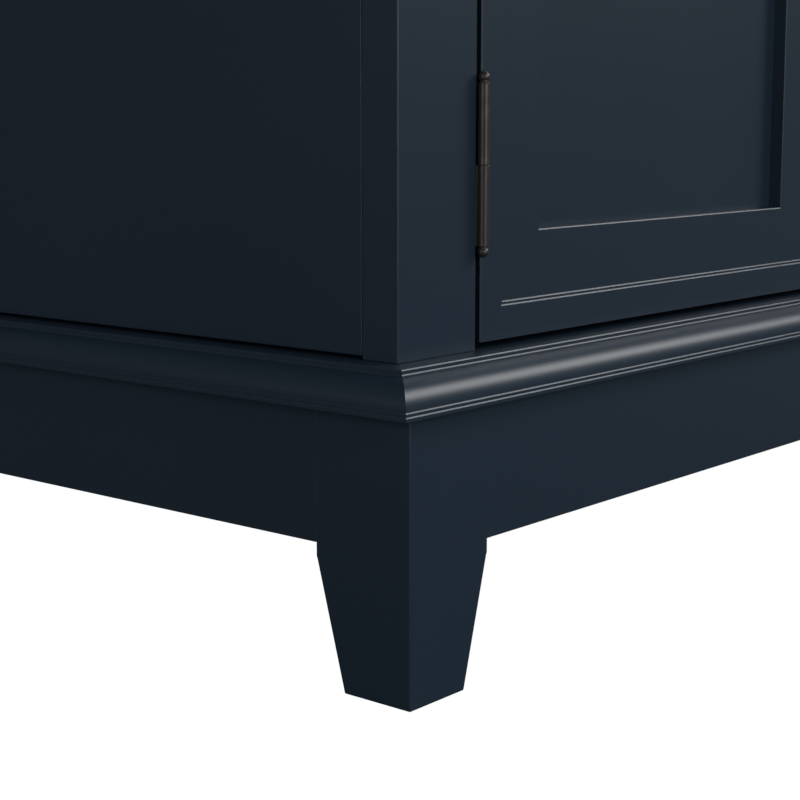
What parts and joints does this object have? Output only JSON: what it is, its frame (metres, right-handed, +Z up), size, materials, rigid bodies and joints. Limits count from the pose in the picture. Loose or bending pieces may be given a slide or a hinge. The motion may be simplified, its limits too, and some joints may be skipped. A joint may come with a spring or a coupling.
{
  "type": "bathroom vanity cabinet",
  "caption": "Freestanding vanity base with tapered legs, moulded plinth, face frame and inset framed doors on ball-tip butt hinges.",
  "frame": {"origin": "on the floor under the middle of the bounding box", "axes": "+X to the right as seen from the front, +Y towards the wall behind, +Z up; the doors face -Y"},
  "size_m": [0.786, 0.559, 0.851],
  "materials": {
    "lacquer": "satin dark slate-blue lacquer on wood",
    "interior": "thin matt coat of the same dark slate-blue on board",
    "bronze": "oil-rubbed dark bronze, satin",
    "steel": "zinc-plated steel",
    "plastic": "matt dark brown plastic"
  },
  "bodies": {
    "cabinet": {"apron_front": "lacquer", "apron_left": "lacquer", "apron_rear": "lacquer", "apron_right": "lacquer", "back_rail_bottom": "interior", "back_rail_top": "interior", "base_rail_rear": "lacquer", "catch_cleat": "interior", "catch_left": "plastic", "catch_right": "plastic", "corner_block_front_left": "interior", "corner_block_front_right": "interior", "corner_block_rear_left": "interior", "corner_block_rear_right": "interior", "face_rail_top": "lacquer", "face_stile_left": "lacquer", "face_stile_right": "lacquer", "floor_panel": "interior", "hinge_left_lower_frame_leaf": "bronze", "hinge_left_lower_pin": "bronze", "hinge_left_upper_frame_leaf": "bronze", "hinge_left_upper_pin": "bronze", "hinge_right_lower_frame_leaf": "bronze", "hinge_right_lower_pin": "bronze", "hinge_right_upper_frame_leaf": "bronze", "hinge_right_upper_pin": "bronze", "leg_front_left": "lacquer", "leg_front_right": "lacquer", "leg_rear_left": "lacquer", "leg_rear_right": "lacquer", "moulding_front": "lacquer", "moulding_left": "lacquer", "moulding_right": "lacquer", "shelf": "interior", "shelf_pin_front_left": "steel", "shelf_pin_front_right": "steel", "shelf_pin_rear_left": "steel", "shelf_pin_rear_right": "steel", "side_panel_left": "lacquer", "side_panel_right": "lacquer"},
    "door_left": {"door_left_bottom_rail": "lacquer", "door_left_hinge_stile": "lacquer", "door_left_lock_stile": "lacquer", "door_left_panel": "lacquer", "door_left_top_rail": "lacquer", "hinge_left_lower_door_leaf": "bronze", "hinge_left_upper_door_leaf": "bronze", "knob_left": "bronze", "strike_left": "steel"},
    "door_right": {"door_right_bottom_rail": "lacquer", "door_right_hinge_stile": "lacquer", "door_right_lock_stile": "lacquer", "door_right_panel": "lacquer", "door_right_top_rail": "lacquer", "hinge_right_lower_door_leaf": "bronze", "hinge_right_upper_door_leaf": "bronze", "knob_right": "bronze", "strike_right": "steel"}
  },
  "joints": [
    {"name": "door_left_hinge", "type": "hinge", "parent": "cabinet", "child": "door_left", "pos_m": [-0.31562, -0.256, 0.464], "axis": [0, 0, -1], "range_deg": [0, 180]},
    {"name": "door_right_hinge", "type": "hinge", "parent": "cabinet", "child": "door_right", "pos_m": [0.31562, -0.256, 0.464], "axis": [0, 0, 1], "range_deg": [0, 180]}
  ]
}
